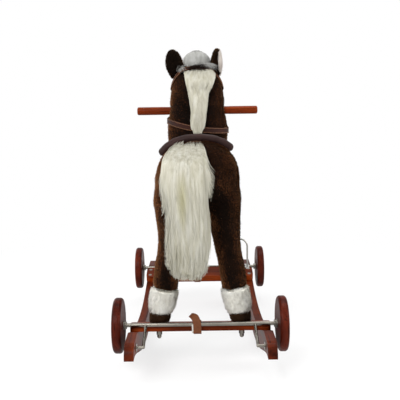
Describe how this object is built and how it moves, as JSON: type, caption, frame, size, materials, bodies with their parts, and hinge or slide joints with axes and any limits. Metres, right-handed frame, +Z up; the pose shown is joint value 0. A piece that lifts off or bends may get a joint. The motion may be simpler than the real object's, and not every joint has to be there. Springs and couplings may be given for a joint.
{
  "type": "plush rocking horse with swing-away wheels",
  "caption": "Stuffed riding horse with saddle, stirrups and a dowel handle on wooden rockers, with wheel sets that swing from above the rockers to under them so it can rock or roll.",
  "frame": {"origin": "on the floor, in the middle under the rockers, with the horse standing on its rockers", "axes": "+X is the horse's right, +Y is ahead towards its nose, +Z is up"},
  "size_m": [0.344, 0.716, 0.671],
  "materials": {
    "mahogany": "stained and lacquered, satin",
    "wheel_wood": "stained, satin",
    "dowel": "stained and lacquered, satin",
    "frame_wood": "bare",
    "steel": "plain zinc plated",
    "strap_leather": "worn, matt",
    "tack_leather": "stitched edges",
    "saddle": "soft padded imitation leather",
    "brown_plush": "short pile plush",
    "white_fur": "long and short white fur",
    "eye": "gloss"
  },
  "bodies": {
    "horse": {"left_rocker": "mahogany", "right_rocker": "mahogany", "rear_slat": "mahogany", "front_slat": "mahogany", "handle": "dowel", "leg_posts": "frame_wood", "spine_board": "frame_wood", "neck_post": "frame_wood", "slat_screws": "steel", "pivot_bushes": "steel", "leg_bolts": "steel", "leg_nuts": "steel", "stirrup_rivets": "steel", "rear_strap": "strap_leather", "front_strap": "strap_leather", "girth": "tack_leather", "bridle": "tack_leather", "reins": "tack_leather", "saddle_seat": "saddle", "saddle_cantle": "saddle", "saddle_flaps": "saddle", "torso": "brown_plush", "neck": "brown_plush", "head": "brown_plush", "left_ear": "brown_plush", "right_ear": "brown_plush", "hind_left_leg": "brown_plush", "hind_right_leg": "brown_plush", "fore_left_leg": "brown_plush", "fore_right_leg": "brown_plush", "hind_left_hoof": "brown_plush", "hind_right_hoof": "brown_plush", "fore_left_hoof": "brown_plush", "fore_right_hoof": "brown_plush", "mane": "white_fur", "forelock": "white_fur", "tail": "white_fur", "hind_left_sock": "white_fur", "hind_right_sock": "white_fur", "fore_left_sock": "white_fur", "fore_right_sock": "white_fur", "eyes": "eye"},
    "rear_axle_set": {"rear_axle": "steel", "rear_left_arm": "steel", "rear_right_arm": "steel", "rear_axle_collars": "steel", "rear_axle_caps": "steel"},
    "front_axle_set": {"front_axle": "steel", "front_left_arm": "steel", "front_right_arm": "steel", "front_axle_collars": "steel", "front_axle_caps": "steel"},
    "rear_left_wheel_body": {"rear_left_wheel": "wheel_wood"},
    "rear_right_wheel_body": {"rear_right_wheel": "wheel_wood"},
    "front_left_wheel_body": {"front_left_wheel": "wheel_wood"},
    "front_right_wheel_body": {"front_right_wheel": "wheel_wood"},
    "left_leather_body": {"left_leather": "tack_leather"},
    "right_leather_body": {"right_leather": "tack_leather"},
    "left_stirrup_body": {"left_stirrup": "steel"},
    "right_stirrup_body": {"right_stirrup": "steel"}
  },
  "joints": [
    {"name": "rear_wheels_swing", "type": "hinge", "parent": "horse", "child": "rear_axle_set", "pos_m": [0, -0.308, 0.07101], "axis": [1, 0, 0], "range_deg": [0, 307], "deforming": ["rear_strap"]},
    {"name": "front_wheels_swing", "type": "hinge", "parent": "horse", "child": "front_axle_set", "pos_m": [0, 0.308, 0.07101], "axis": [-1, 0, 0], "range_deg": [0, 307], "deforming": ["front_strap"]},
    {"name": "rear_left_wheel_spin", "type": "hinge", "parent": "rear_axle_set", "child": "rear_left_wheel_body", "pos_m": [-0.163, -0.24084, 0.0925], "axis": [1, 0, 0], "continuous": true},
    {"name": "rear_right_wheel_spin", "type": "hinge", "parent": "rear_axle_set", "child": "rear_right_wheel_body", "pos_m": [0.163, -0.24084, 0.0925], "axis": [1, 0, 0], "continuous": true},
    {"name": "front_left_wheel_spin", "type": "hinge", "parent": "front_axle_set", "child": "front_left_wheel_body", "pos_m": [-0.163, 0.24084, 0.0925], "axis": [1, 0, 0], "continuous": true},
    {"name": "front_right_wheel_spin", "type": "hinge", "parent": "front_axle_set", "child": "front_right_wheel_body", "pos_m": [0.163, 0.24084, 0.0925], "axis": [1, 0, 0], "continuous": true},
    {"name": "left_leather_swing", "type": "hinge", "parent": "horse", "child": "left_leather_body", "pos_m": [-0.08437, 0.015, 0.36165], "axis": [1, 0, 0], "range_deg": [-20, 20]},
    {"name": "left_stirrup_swing", "type": "hinge", "parent": "left_leather_body", "child": "left_stirrup_body", "pos_m": [-0.08437, 0.015, 0.21365], "axis": [0, 1, 0], "range_deg": [-35, 35]},
    {"name": "right_leather_swing", "type": "hinge", "parent": "horse", "child": "right_leather_body", "pos_m": [0.08437, 0.015, 0.36165], "axis": [1, 0, 0], "range_deg": [-20, 20]},
    {"name": "right_stirrup_swing", "type": "hinge", "parent": "right_leather_body", "child": "right_stirrup_body", "pos_m": [0.08437, 0.015, 0.21365], "axis": [1, 0, 0], "range_deg": [-35, 35]}
  ]
}
